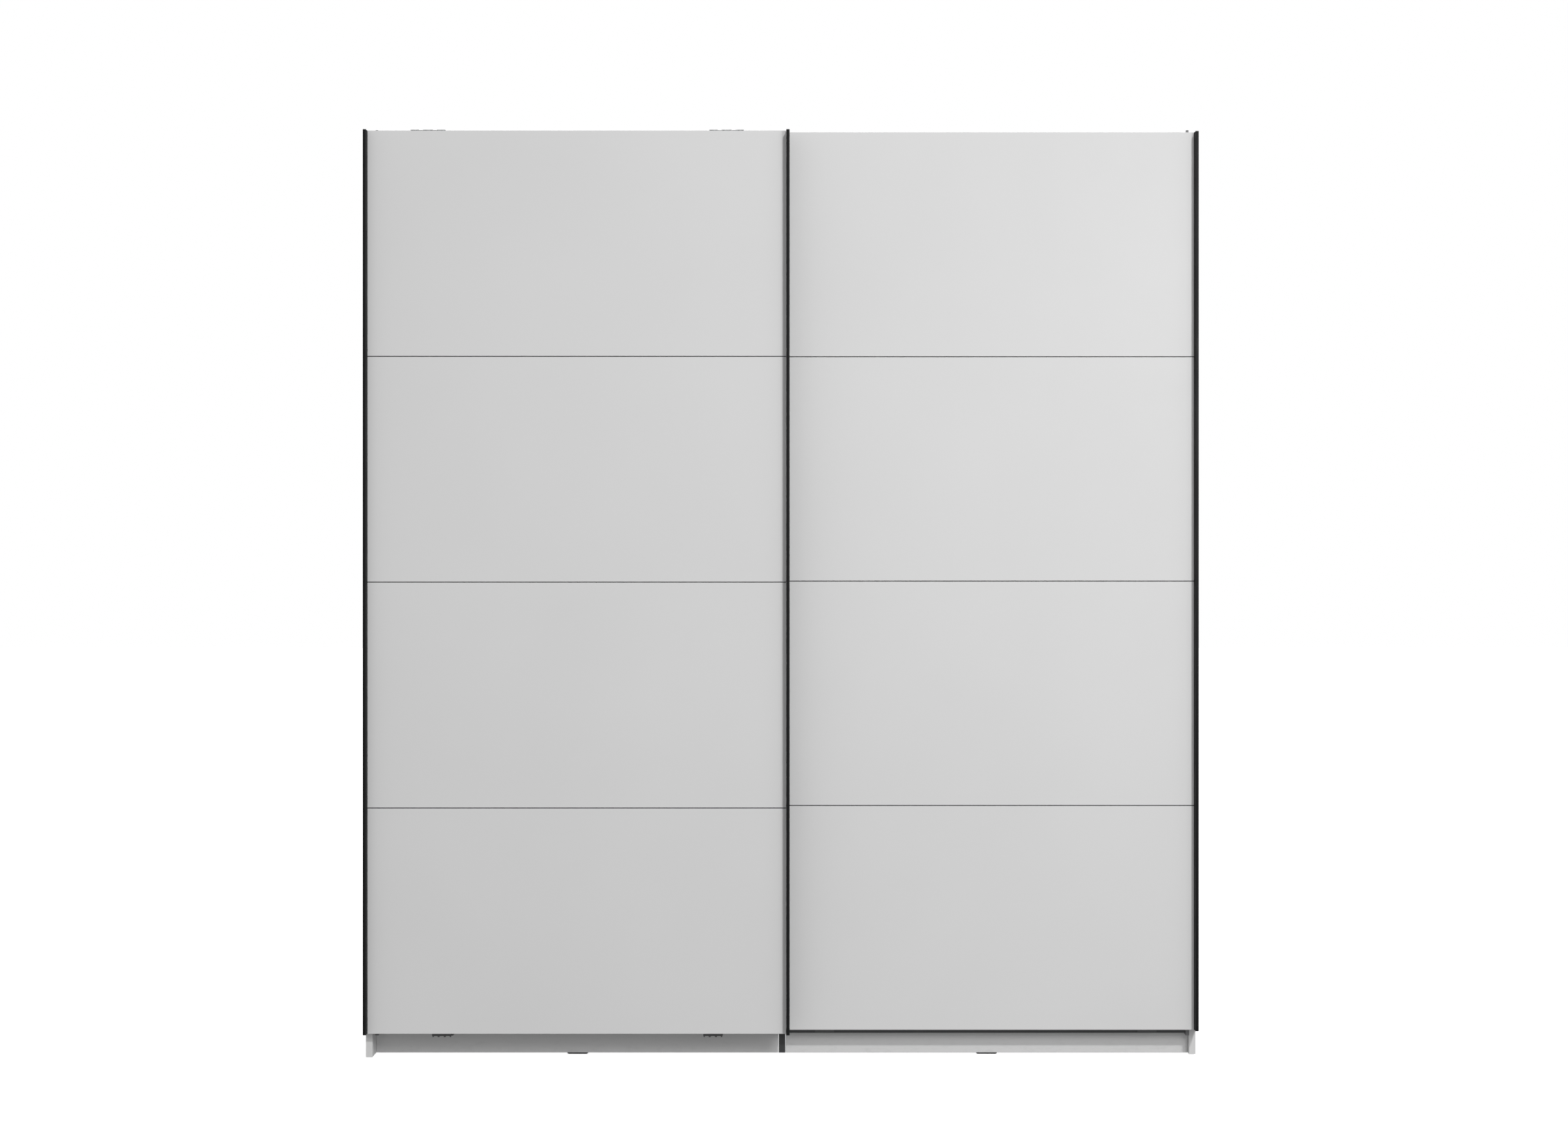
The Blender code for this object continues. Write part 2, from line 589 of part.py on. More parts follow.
def make_front_carriage(name, centre_x, anchor):
    """A plate let into the front door's back, three tongues over the rear door, and a drop plate behind."""
    plate_front = FRONT_DOOR_BACK - FRONT_PLATE_SEAT
    plate_back = plate_front + PLATE
    drop_front = REAR_TRACK_Y - DROP_TO_TRACK
    drop_back = drop_front + PLATE
    centre_z = axle_height(REAR_RIB_TOP)
    outline = [(plate_front, PLATE_BOTTOM), (plate_back, PLATE_BOTTOM), (plate_back, ARM_BOTTOM),
               (drop_front, ARM_BOTTOM), (drop_front, DROP_BOTTOM), (drop_back, DROP_BOTTOM),
               (drop_back, ARM_TOP), (plate_front, ARM_TOP)]
    carriage = mesh_from_curve(profile_bar(name, [outline], centre_x, CARRIAGE_WIDTH, "steel"))
    for index, sign in enumerate((-1, 1)):
        low, high = sorted((centre_x + sign * SLOT_INNER, centre_x + sign * SLOT_OUTER))
        cut(carriage, "%s_slot_%d" % (name, index), (low, plate_back, ARM_BOTTOM - SPILL),
            (high, drop_front - SLOT_END, ARM_TOP + SPILL))
        cut(carriage, "%s_notch_%d" % (name, index), (low, plate_front - SPILL, NOTCH_BOTTOM),
            (high, plate_back + SPILL, ARM_TOP + SPILL))
    add_axles(carriage, centre_x, drop_back, centre_z, REAR_TRACK_Y)
    adopt(carriage, anchor)


def make_doors():
    left = -WIDTH / 2
    middle = DOOR_OVERLAP / 2
    left_anchor = empty_at("left_door_body", (left, FRONT_DOOR_BACK, FRONT_DOOR_BOTTOM))
    right_anchor = empty_at("right_door_body", (-left, REAR_DOOR_BACK, REAR_DOOR_BOTTOM))
    for door in ("left_door", "right_door"):
        front = door == "left_door"
        anchor = left_anchor if front else right_anchor
        low_x = left if front else -middle
        high_x = middle if front else -left
        face = FRONT_DOOR_FACE if front else REAR_DOOR_FACE
        bottom = FRONT_DOOR_BOTTOM if front else REAR_DOOR_BOTTOM
        guide_inset = FRONT_GUIDE_INSET if front else REAR_GUIDE_INSET
        guides = (low_x + guide_inset, high_x - guide_inset)
        carriages = (low_x + CARRIAGE_INSET, high_x - CARRIAGE_INSET)
        pockets = [(x, GUIDE_WIDTH / 2 + GAP, bottom - SPILL, bottom + GUIDE_POCKET) for x in guides]
        if front:
            top = bottom + DOOR_HEIGHT
            pockets += [(x, CARRIAGE_WIDTH / 2 + GAP, PLATE_BOTTOM - 1 * MM, top + SPILL) for x in carriages]
        make_door(door, low_x, high_x, face, bottom, anchor, pockets)
        outline = front_guide_outline() if front else rear_guide_outline()
        for side, guide_x, carriage_x in zip(("left", "right"), guides, carriages):
            name = "%s_guide_%s" % (door, side)
            profile_bar(name, [outline], guide_x, GUIDE_WIDTH, "dark_plastic", anchor)
            name = "%s_carriage_%s" % (door, side)
            if front:
                make_front_carriage(name, carriage_x, anchor)
            else:
                make_rear_carriage(name, carriage_x, anchor)
            track_y = REAR_TRACK_Y if front else FRONT_TRACK_Y
            rib_top = REAR_RIB_TOP if front else FRONT_RIB_TOP
            for index, sign in enumerate((-1, 1)):
                wheel_name = "%s_wheel_%s_%d" % (door, side, index + 1)
                centre = (carriage_x + sign * WHEEL_SPACING / 2, track_y, axle_height(rib_top))
                make_wheel(wheel_name, centre, anchor)


def main():
    clear_scene()
    make_case_boards()
    make_plinths()
    make_back_panels()
    make_shelves()
    make_clothes_rails()
    make_glides()
    make_top_rail()
    make_bottom_rail()
    make_track_stops()
    make_doors()


main()
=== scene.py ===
"""Looks of the sliding door wardrobe: boards with edge bands, graphite grips, running gear and a studio."""
import json
import math

import bmesh
import bpy
from mathutils import Matrix, Vector


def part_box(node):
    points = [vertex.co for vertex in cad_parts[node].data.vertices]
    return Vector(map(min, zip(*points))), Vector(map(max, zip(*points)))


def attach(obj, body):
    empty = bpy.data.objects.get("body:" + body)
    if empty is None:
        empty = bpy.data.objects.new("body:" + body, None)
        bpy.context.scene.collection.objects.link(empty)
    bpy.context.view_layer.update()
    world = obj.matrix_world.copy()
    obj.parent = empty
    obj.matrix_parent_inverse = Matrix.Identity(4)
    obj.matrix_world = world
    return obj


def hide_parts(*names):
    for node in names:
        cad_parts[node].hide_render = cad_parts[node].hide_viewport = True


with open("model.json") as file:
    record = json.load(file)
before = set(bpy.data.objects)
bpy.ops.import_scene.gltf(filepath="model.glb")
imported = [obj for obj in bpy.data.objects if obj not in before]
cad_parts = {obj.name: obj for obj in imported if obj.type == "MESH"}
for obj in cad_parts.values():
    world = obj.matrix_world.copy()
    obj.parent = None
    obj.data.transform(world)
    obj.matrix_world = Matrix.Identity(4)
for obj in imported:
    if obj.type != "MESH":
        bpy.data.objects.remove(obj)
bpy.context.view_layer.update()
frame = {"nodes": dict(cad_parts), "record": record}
BEHAVIOUR = frame["record"]["behaviour"]
BODY_OF = {node: body for body, nodes in BEHAVIOUR["bodies"].items() for node in nodes}
SLOT_OF = {part["node"]: part["material_slot"] for part in frame["record"]["subparts"]}

MM = 0.001
SIDES = (("left", -1), ("right", 1))
DOORS = ("left_door", "right_door")
FIELDS = 4                      # equal fields of a door
COLLECTION = bpy.context.scene.collection


# ---- material nodes -----------------------------------------------------------------------------------
class Nodes:
    """A material's node tree, with short calls for the nodes that the finishes share."""

    def __init__(self, name, colour, roughness, metallic=0.0, specular=0.5):
        self.material = bpy.data.materials.new(name)
        self.material.use_nodes = True
        self.material.diffuse_color = (*colour, 1.0)
        self.tree = self.material.node_tree
        self.shader = self.tree.nodes["Principled BSDF"]
        self.shader.inputs["Base Color"].default_value = (*colour, 1.0)
        self.shader.inputs["Roughness"].default_value = roughness
        self.shader.inputs["Metallic"].default_value = metallic
        self.shader.inputs["Specular IOR Level"].default_value = specular
        self.place = self.add("ShaderNodeTexCoord").outputs["Object"]

    def add(self, kind, **settings):
        node = self.tree.nodes.new(kind)
        for key, value in settings.items():
            setattr(node, key, value)
        return node

    def link(self, source, target):
        self.tree.links.new(source, target)

    def stretched(self, scale):
        """Object coordinates, scaled along each axis."""
        mapping = self.add("ShaderNodeMapping")
        mapping.inputs["Scale"].default_value = scale
        self.link(self.place, mapping.inputs["Vector"])
        return mapping.outputs["Vector"]

    def noise(self, scale, detail=2.0, roughness=0.5, stretch=None):
        noise = self.add("ShaderNodeTexNoise")
        noise.inputs["Scale"].default_value = scale
        noise.inputs["Detail"].default_value = detail
        noise.inputs["Roughness"].default_value = roughness
        self.link(self.stretched(stretch) if stretch else self.place, noise.inputs["Vector"])
        return noise.outputs["Fac"]

    def spread(self, source, low, high, start=0.0, end=1.0):
        """A value between start and end, mapped to low and high."""
        spread = self.add("ShaderNodeMapRange")
        for name, value in (("From Min", start), ("From Max", end), ("To Min", low), ("To Max", high)):
            spread.inputs[name].default_value = value
        self.link(source, spread.inputs["Value"])
        return spread.outputs["Result"]

    def mixed(self, factor, first, second):
        """A colour between two, either of which may be a socket."""
        mix = self.add("ShaderNodeMix", data_type="RGBA")
        self.link(factor, mix.inputs["Factor"])
        for name, value in (("A", first), ("B", second)):
            socket = next(s for s in mix.inputs if s.name == name and s.type == "RGBA")
            if isinstance(value, bpy.types.NodeSocket):
                self.link(value, socket)
            else:
                socket.default_value = (*value, 1.0)
        return next(s for s in mix.outputs if s.type == "RGBA")

    def math(self, operation, first, second):
        node = self.add("ShaderNodeMath", operation=operation)
        for socket, value in zip(node.inputs, (first, second)):
            if isinstance(value, bpy.types.NodeSocket):
                self.link(value, socket)
            else:
                socket.default_value = value
        return node.outputs["Value"]

    def height(self):
        """Height above the floor, in metres."""
        split = self.add("ShaderNodeSeparateXYZ")
        self.link(self.add("ShaderNodeNewGeometry").outputs["Position"], split.inputs["Vector"])
        return split.outputs["Z"]

    def colour(self, source):
        self.link(source, self.shader.inputs["Base Color"])

    def gloss(self, source, low, high):
        self.link(self.spread(source, low, high, 0.3, 0.7), self.shader.inputs["Roughness"])

    def bump(self, source, depth, strength=1.0):
        bump = self.add("ShaderNodeBump")
        bump.inputs["Distance"].default_value = depth
        bump.inputs["Strength"].default_value = strength
        self.link(source, bump.inputs["Height"])
        self.link(bump.outputs["Normal"], self.shader.inputs["Normal"])


def scaled(colour, factor):
    return tuple(channel * factor for channel in colour)


def melamine(name, colour, roughness, floor_darkening=0.0):
    """White melamine: a pearl grain, faint cloudiness, and patches darker towards the floor."""
    nodes = Nodes(name, colour, roughness, 0.0, 0.3)
    cloud = nodes.noise(2.2, 3.0)
    pores = nodes.noise(900.0, 2.0, 0.6)
    tone = nodes.mixed(nodes.spread(cloud, 0.0, 1.0, 0.3, 0.7), scaled(colour, 0.985), scaled(colour, 1.01))
    tone = nodes.mixed(nodes.spread(pores, 0.0, 0.10, 0.35, 0.65), tone, scaled(colour, 0.88))
    if floor_darkening:
        # darker in noisy patches over the lowest 55 mm, more so towards the floor
        low = nodes.spread(nodes.height(), 1.0, 0.0, 0.0, 0.055)
        marks = nodes.spread(nodes.noise(38.0, 5.0, 0.65, (1.0, 1.0, 2.5)), 0.0, 1.0, 0.50, 0.72)
        tone = nodes.mixed(nodes.math("MULTIPLY", nodes.math("MULTIPLY", low, marks), floor_darkening), tone,
                           scaled(colour, 0.45))
    nodes.colour(tone)
    nodes.gloss(nodes.noise(14.0, 3.0), roughness - 0.05, roughness + 0.06)
    nodes.bump(nodes.math("ADD", nodes.noise(620.0, 2.0), nodes.math("MULTIPLY", pores, 0.5)), 0.03 * MM)
    return nodes.material


def edge_band(name, colour, roughness):
    """Plastic edge band: fine lengthwise ribs, glossier than the face, with rubbed spots."""
    nodes = Nodes(name, colour, roughness)
    rubbed = nodes.spread(nodes.noise(55.0, 4.0, 0.7), 0.0, 0.30, 0.58, 0.74)
    nodes.colour(nodes.mixed(rubbed, colour, scaled(colour, 0.72)))
    nodes.gloss(nodes.noise(30.0, 2.0), roughness - 0.06, roughness + 0.08)
    nodes.bump(nodes.noise(260.0, 3.0, 0.55, (1.0, 1.0, 0.25)), 0.02 * MM)
    return nodes.material


def extrusion(name, colour, roughness, metallic, grain, wear, specular=0.5):
    """A drawn profile: die lines along grain's axis, and wear as spots of a lighter tone."""
    nodes = Nodes(name, colour, roughness, metallic, specular)
    lines = nodes.noise(1.0, 3.0, 0.6, grain)
    worn = nodes.spread(nodes.noise(42.0, 5.0, 0.7), 0.0, wear, 0.60, 0.78)
    tone = nodes.mixed(nodes.spread(lines, 0.0, 1.0, 0.3, 0.7), scaled(colour, 0.86), scaled(colour, 1.14))
    nodes.colour(nodes.mixed(worn, tone, tuple(min(1.0, channel * 2.2 + 0.03) for channel in colour)))
    nodes.gloss(nodes.noise(9.0, 4.0, 0.6), roughness - 0.07, roughness + 0.09)
    nodes.bump(lines, 0.02 * MM)
    return nodes.material


def polished(name, colour, roughness):
    """Bright plated tube, with finger marks and hairline scratches round it."""
    nodes = Nodes(name, colour, roughness, 1.0)
    marks = nodes.noise(24.0, 4.0, 0.6)
    scratches = nodes.spread(nodes.noise(1.0, 4.0, 0.7, (900.0, 60.0, 60.0)), 0.0, 0.35, 0.62, 0.74)
    nodes.colour(nodes.mixed(scratches, colour, scaled(colour, 0.8)))
    nodes.gloss(marks, roughness - 0.04, roughness + 0.10)
    return nodes.material


def plated(name, colour, roughness):
    """Zinc-plated pressed steel: a cloudy spangle with fine scratches."""
    nodes = Nodes(name, colour, roughness, 1.0)
    spangle = nodes.add("ShaderNodeTexVoronoi")
    spangle.inputs["Scale"].default_value = 230.0
    nodes.link(nodes.place, spangle.inputs["Vector"])
    grey = nodes.add("ShaderNodeRGBToBW")
    nodes.link(spangle.outputs["Color"], grey.inputs["Color"])
    tone = nodes.mixed(grey.outputs["Val"], scaled(colour, 0.82), scaled(colour, 1.15))
    scratches = nodes.spread(nodes.noise(120.0, 5.0, 0.8, (1.0, 1.0, 9.0)), 0.0, 0.5, 0.60, 0.72)
    nodes.colour(nodes.mixed(scratches, tone, scaled(colour, 1.5)))
    nodes.gloss(grey.outputs["Val"], roughness - 0.08, roughness + 0.12)
    nodes.bump(nodes.noise(300.0, 4.0), 0.02 * MM)
    return nodes.material


def moulded(name, colour, roughness, grain=1400.0):
    """Moulded plastic: a spark-eroded grain, and dust in broad patches."""
    nodes = Nodes(name, colour, roughness)
    dust = nodes.spread(nodes.noise(26.0, 4.0, 0.6), 0.0, 0.22, 0.48, 0.75)
    nodes.colour(nodes.mixed(dust, colour, tuple(channel * 0.8 + 0.05 for channel in colour)))
    nodes.gloss(nodes.noise(60.0, 3.0), roughness - 0.06, roughness + 0.08)
    nodes.bump(nodes.noise(grain, 2.0, 0.6), 0.03 * MM)
    return nodes.material


def hardboard(name, front, back):
    """Thin hardboard: a white printed front, and a brown fibrous back."""
    nodes = Nodes(name, front, 0.7)
    fibres = nodes.noise(240.0, 6.0, 0.75, (1.0, 1.0, 0.45))
    clouds = nodes.noise(7.0, 4.0)
    brown = nodes.mixed(nodes.spread(fibres, 0.0, 1.0, 0.35, 0.65), scaled(back, 0.72), scaled(back, 1.2))
    brown = nodes.mixed(nodes.spread(clouds, 0.0, 0.35, 0.3, 0.7), brown, scaled(back, 0.85))
    split = nodes.add("ShaderNodeSeparateXYZ")
    nodes.link(nodes.add("ShaderNodeNewGeometry").outputs["True Normal"], split.inputs["Vector"])
    behind = nodes.spread(split.outputs["Y"], 0.0, 1.0, -0.9, -0.8)
    nodes.colour(nodes.mixed(behind, front, brown))
    nodes.gloss(clouds, 0.62, 0.78)
    nodes.bump(fibres, 0.05 * MM)
    return nodes.material


WHITE = (0.80, 0.80, 0.80)
UPRIGHT = (900.0, 900.0, 3.0)   # grain of die lines that run along Z
LENGTHWISE = (3.0, 900.0, 900.0)    # and along X
FINISHES = {
    "white_face": melamine("white_melamine", WHITE, 0.56),
    # the lower boards' melamine, darker in patches towards the floor
    "white_foot": melamine("white_melamine_low", WHITE, 0.56, 0.16),
    "white_edge": edge_band("white_edge_band", (0.785, 0.785, 0.782), 0.40),
    "graphite": extrusion("graphite_profile", (0.007, 0.0072, 0.0076), 0.46, 0.0, UPRIGHT, 0.02, 0.22),
    "graphite_worn": extrusion("graphite_corner", (0.013, 0.0134, 0.014), 0.42, 0.0, UPRIGHT, 0.12, 0.4),
    "graphite_rail": extrusion("graphite_rail", (0.075, 0.076, 0.078), 0.42, 0.0, LENGTHWISE, 0.15),
    "graphite_edge": edge_band("graphite_edge_band", (0.055, 0.056, 0.058), 0.42),
    "aluminium": extrusion("anodised_rail", (0.55, 0.56, 0.57), 0.36, 1.0, LENGTHWISE, 0.12),
    "chrome": polished("plated_tube", (0.66, 0.67, 0.68), 0.16),
    "zinc": plated("zinc_plated_steel", (0.44, 0.45, 0.455), 0.34),
    "bearing": extrusion("bearing_steel", (0.50, 0.50, 0.51), 0.22, 1.0, (500.0, 500.0, 500.0), 0.05),
    "grey_plastic": moulded("grey_plastic", (0.21, 0.21, 0.215), 0.48),
    "dark_plastic": moulded("dark_plastic", (0.018, 0.018, 0.0195), 0.45),
    "guide_plastic": moulded("guide_plastic", (0.105, 0.105, 0.108), 0.50),
    "white_plastic": moulded("white_plastic", (0.74, 0.74, 0.73), 0.42),
    "hardboard": hardboard("hardboard", (0.74, 0.74, 0.73), (0.33, 0.215, 0.125)),
}


# ---- meshes -------------------------------------------------------------------------------------------
def new_piece(name, shape, finishes):
    """An object from a bmesh, with its finishes as material slots."""
    bmesh.ops.recalc_face_normals(shape, faces=shape.faces)
    mesh = bpy.data.meshes.new(name)
    shape.to_mesh(mesh)
    shape.free()
    piece = bpy.data.objects.new(name, mesh)
    COLLECTION.objects.link(piece)
    for finish in finishes:
        mesh.materials.append(FINISHES[finish])
    return piece


def smooth(piece, angle=32.0):
    piece.data.shade_smooth()
    piece.data.set_sharp_from_angle(angle=math.radians(angle))


def rounded(piece, width, segments=2, edge_slot=0):
    """Round every sharp edge, with the round in its own material slot."""
    bevel = piece.modifiers.new("rounded_edges", "BEVEL")
    bevel.width = width
    bevel.segments = segments
    bevel.limit_method = "ANGLE"
    bevel.angle_limit = math.radians(35.0)
    bevel.material = edge_slot
    bevel.face_strength_mode = "FSTR_ALL"
    flat = piece.modifiers.new("flat_faces", "WEIGHTED_NORMAL")
    flat.weight = 100
    flat.use_face_influence = True
    piece.data.shade_smooth()


def settle(piece, body, slot, *nodes):
    """Ride on a body, and stand for CAD nodes, which are hidden. slot is not used."""
    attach(piece, body)
    if nodes:
        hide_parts(*nodes)


def cad_shape(node):
    """A CAD node's mesh as one closed shape with whole flat faces."""
    shape = bmesh.new()
    shape.from_mesh(frame["nodes"][node].data)
    bmesh.ops.remove_doubles(shape, verts=shape.verts, dist=0.002 * MM)
    bmesh.ops.dissolve_limit(shape, angle_limit=math.radians(0.5), verts=shape.verts, edges=shape.edges)
    return shape


def add_box(shape, low, high):
    """A box between two corners."""
    made = bmesh.ops.create_cube(shape, size=1.0)
    middle = (Vector(low) + Vector(high)) / 2
    size = Vector(high) - Vector(low)
    for vertex in made["verts"]:
        vertex.co = middle + Vector(a * b for a, b in zip(vertex.co, size))
    return made["verts"]


def add_prism(shape, outline, axis, start, stop):
    """An outline drawn out along an axis. Its points are (y, z) for X, (x, z) for Y and (x, y) for Z."""
    place = {"X": lambda u, v, w: (w, u, v),
             "Y": lambda u, v, w: (u, w, v),
             "Z": lambda u, v, w: (u, v, w)}[axis]
    near = [shape.verts.new(place(u, v, start)) for u, v in outline]
    far = [shape.verts.new(place(u, v, stop)) for u, v in outline]
    count = len(outline)
    shape.faces.new(near)
    shape.faces.new(far)
    for index in range(count):
        after = (index + 1) % count
        shape.faces.new((near[index], near[after], far[after], far[index]))


def add_turned(shape, profile, axis, centre, steps=32, closed=False, slots=None):
    """A profile of (radius, place along the axis) turned about an axis through centre.
    slots gives the material slot of each stretch of the profile."""
    turn = {"X": Matrix.Rotation(math.pi / 2, 3, "Y"), "Y": Matrix.Rotation(-math.pi / 2, 3, "X"),
            "Z": Matrix.Identity(3)}[axis]
    rings = []
    for radius, along in profile:
        ring = []
        for index in range(1 if radius == 0.0 else steps):
            angle = math.tau * index / steps
            point = Vector((radius * math.cos(angle), radius * math.sin(angle), along))
            ring.append(shape.verts.new(Vector(centre) + turn @ point))
        rings.append(ring)
    pairs = list(zip(rings, rings[1:]))
    if closed:
        pairs.append((rings[-1], rings[0]))
    for number, (first, second) in enumerate(pairs):
        for index in range(steps):
            after = (index + 1) % steps
            corners = [first[index % len(first)], first[after % len(first)],
                       second[after % len(second)], second[index % len(second)]]
            face = shape.faces.new(list(dict.fromkeys(corners)))
            if slots:
                face.material_index = slots[number]


def arc(centre_u, centre_v, radius, start, end, steps=5):
    """Points of an arc, from start to end in degrees."""
    points = []
    for step in range(steps + 1):
        angle = math.radians(start + (end - start) * step / steps)
        points.append((centre_u + radius * math.cos(angle), centre_v + radius * math.sin(angle)))
    return points


def screw_head(radius, height):
    """A pan head with a cross recess, facing +Z from its seat at zero."""
    shape = bmesh.new()
    dome = []
    for degrees in (0, 25, 50, 70):
        angle = math.radians(degrees)
        dome.append((radius * math.cos(angle), height * math.sin(angle)))
    add_turned(shape, [(0.0, 0.0), (radius * 0.98, 0.0)] + dome + [(0.0, height)], "Z", (0, 0, 0), 20)
    head = new_piece("screw_pattern", shape, [])
    recess = bmesh.new()
    reach = radius * 0.55
    width = radius * 0.13
    floor = height * 0.45
    corner = [(-reach, -width), (-width, -width), (-width, -reach)]
    cross = corner + [(-u, v) for u, v in reversed(corner)]
    cross += [(-u, -v) for u, v in cross]
    add_prism(recess, cross, "Z", floor, height * 2)
    cutter = new_piece("recess_pattern", recess, [])
    cut = head.modifiers.new("recess", "BOOLEAN")
    cut.operation = "DIFFERENCE"
    cut.object = cutter
    bpy.context.view_layer.update()
    mesh = bpy.data.meshes.new_from_object(head.evaluated_get(bpy.context.evaluated_depsgraph_get()))
    for thing in (head, cutter):
        bpy.data.objects.remove(thing, do_unlink=True)
    return mesh


FACING = {"+X": Matrix.Rotation(math.pi / 2, 4, "Y"), "-X": Matrix.Rotation(-math.pi / 2, 4, "Y"),
          "+Y": Matrix.Rotation(-math.pi / 2, 4, "X"), "-Y": Matrix.Rotation(math.pi / 2, 4, "X"),
          "+Z": Matrix.Identity(4), "-Z": Matrix.Rotation(math.pi, 4, "X")}


def screws(name, places, facing, pattern, body, slot="carriage_steel", finish="zinc"):
    """A group of alike fasteners, one for each place, seated on a face and facing one way."""
    shape = bmesh.new()
    for index, place in enumerate(places):
        spin = Matrix.Rotation(math.radians(17.0 + 41.0 * index), 4, "Z")
        copy = pattern.copy()
        copy.transform(Matrix.Translation(place) @ FACING[facing] @ spin)
        shape.from_mesh(copy)
        bpy.data.meshes.remove(copy)
    piece = new_piece(name, shape, [finish])
    smooth(piece, 28.0)
    settle(piece, body, slot)
    return piece


# ---- boards -------------------------------------------------------------------------------------------
def board(node, width=0.7 * MM, face="white_face", edge="white_edge", holes=None):
    """A CAD board with a rounded edge band: faces across its thickness and the rounds take the band."""
    shape = cad_shape(node)
    low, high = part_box(node)
    size = high - low
    thin = min(range(3), key=lambda axis: size[axis])
    for polygon in shape.faces:
        if abs(polygon.normal[thin]) < 0.5:
            polygon.material_index = 1
    piece = new_piece(node + "_board", shape, [face, edge])
    if holes:
        drill(piece, holes)
    rounded(piece, width, 2, 1)
    settle(piece, BODY_OF[node], SLOT_OF[node], node)
    return piece


HOLE_RADIUS = 2.5 * MM
HOLE_DEPTH = 7 * MM
HOLE_PITCH = 32 * MM
HOLE_ROWS = 5                   # rows of system holes above and below the shelf's pins
PIN_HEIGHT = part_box("shelf_left")[0].z - 2.6 * MM
PIN_COLUMNS = (-190 * MM, 270 * MM)


def drill(piece, holes):
    """Blind holes; each is a place on a face, and the way that it opens along X."""
    spill = 1 * MM
    shape = bmesh.new()
    for place, way in holes:
        floor, mouth = -HOLE_DEPTH * way, spill * way
        add_turned(shape, [(0.0, floor), (HOLE_RADIUS, floor), (HOLE_RADIUS, mouth), (0.0, mouth)], "X",
                   place, 14)
    cutter = new_piece(piece.name + "_holes", shape, [])
    cut = piece.modifiers.new("holes", "BOOLEAN")
    cut.operation = "DIFFERENCE"
    cut.object = cutter
    bpy.context.view_layer.update()
    mesh = bpy.data.meshes.new_from_object(piece.evaluated_get(bpy.context.evaluated_depsgraph_get()))
    piece.modifiers.remove(cut)
    piece.data = mesh
    bpy.data.objects.remove(cutter, do_unlink=True)


def system_holes(face_x, way):
    holes = []
    for y in PIN_COLUMNS:
        for row in range(-HOLE_ROWS, HOLE_ROWS + 1):
            if row:
                holes.append(((face_x, y, PIN_HEIGHT + row * HOLE_PITCH), way))
    return holes


def make_case_boards():
    for side, sign in SIDES:
        inner_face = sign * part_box("side_panel_right")[0].x
        board("side_panel_" + side, face="white_foot", holes=system_holes(inner_face, -sign))
        for name in ("top_board_", "bottom_board_", "shelf_"):
            board(name + side)
        board("plinth_" + side, face="white_foot")
        board("back_panel_" + side, 0.2 * MM, "hardboard", "hardboard")
    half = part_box("centre_partition")[1].x
    board("centre_partition", face="white_foot", holes=system_holes(-half, -1) + system_holes(half, 1))
    board("partition_front_trim", 0.5 * MM, "graphite_edge", "graphite_edge")


# ---- fittings of the case -----------------------------------------------------------------------------
SCREW = screw_head(3.6 * MM, 1.5 * MM)
SCREW_FLAT = screw_head(3.6 * MM, 1.0 * MM)
SMALL_SCREW = screw_head(2.2 * MM, 1.0 * MM)
NAIL_PITCH = 150 * MM
NAIL_EDGE = 8 * MM              # from the back panels' upper and lower edges
NAIL_OUTER = 30 * MM            # from their outer edges
NAIL_MIDDLE = 4.3 * MM          # from the joint behind the partition to the nails beside it
NAIL_START = 60 * MM            # and to the first nail of a row across
WEDGE_PITCH = 480 * MM
WEDGE_END = 140 * MM            # from the back panels' ends to the outermost wedges
WEDGE_HALF = 14 * MM            # half a wedge's height
PIN_DROP = 1.5 * MM             # keeps the shelf pins' flanges clear of the shelf
TUBE_WALL = 1.2 * MM            # of the clothes rails
CUP_SCREW_OFFSET = 18.2 * MM    # from the middle of a clothes rail
CAP_RADIUS = 8.5 * MM
CAP_INSET = 34 * MM             # from the top boards' ends
CAP_ROWS = (-130 * MM, 250 * MM)


def nail_head():
    radius, height = 1.6 * MM, 0.6 * MM
    shape = bmesh.new()
    add_turned(shape, [(0.0, 0.0), (radius, 0.0), (radius - 0.1 * MM, height - 0.2 * MM),
                       (radius - 0.7 * MM, height), (0.0, height)], "Z", (0, 0, 0), 12)
    nail = new_piece("nail_pattern", shape, [])
    mesh = nail.data
    bpy.data.objects.remove(nail, do_unlink=True)
    return mesh


def spaced(start, stop, pitch):
    """Even places from start to stop, no further apart than the pitch."""
    count = max(1, math.ceil((stop - start) / pitch))
    return [start + (stop - start) * index / count for index in range(count + 1)]


def make_back_fittings():
    """Nails round the back panels, and wedges that press them into the side panels' rebates."""
    nail = nail_head()
    for side, sign in SIDES:
        low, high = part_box("back_panel_" + side)
        outer_x = sign * (max(abs(low.x), abs(high.x)) - NAIL_OUTER)
        bottom, top = low.z + NAIL_EDGE, high.z - NAIL_EDGE
        places = [(sign * NAIL_MIDDLE, high.y, z) for z in spaced(bottom, top, NAIL_PITCH)]
        across = spaced(*sorted((sign * NAIL_START, outer_x)), NAIL_PITCH)
        places += [(x, high.y, z) for x in across for z in (bottom, top)]
        screws("back_nails_" + side, places, "+Y", nail, "case")
        shape = bmesh.new()
        wall = sign * (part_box("side_panel_right")[0].x - 0.2 * MM)
        wedge = [(wall - sign * inward * MM, high.y + depth * MM)
                 for inward, depth in ((0, 0.1), (16, 0.1), (14, 2), (0, 6))]
        for z in spaced(low.z + WEDGE_END, high.z - WEDGE_END, WEDGE_PITCH):
            add_prism(shape, wedge, "Z", z - WEDGE_HALF, z + WEDGE_HALF)
        wedges = new_piece("back_wedges_" + side, shape, ["white_plastic", "white_plastic"])
        rounded(wedges, 0.5 * MM)
        settle(wedges, "case", "grey_plastic")


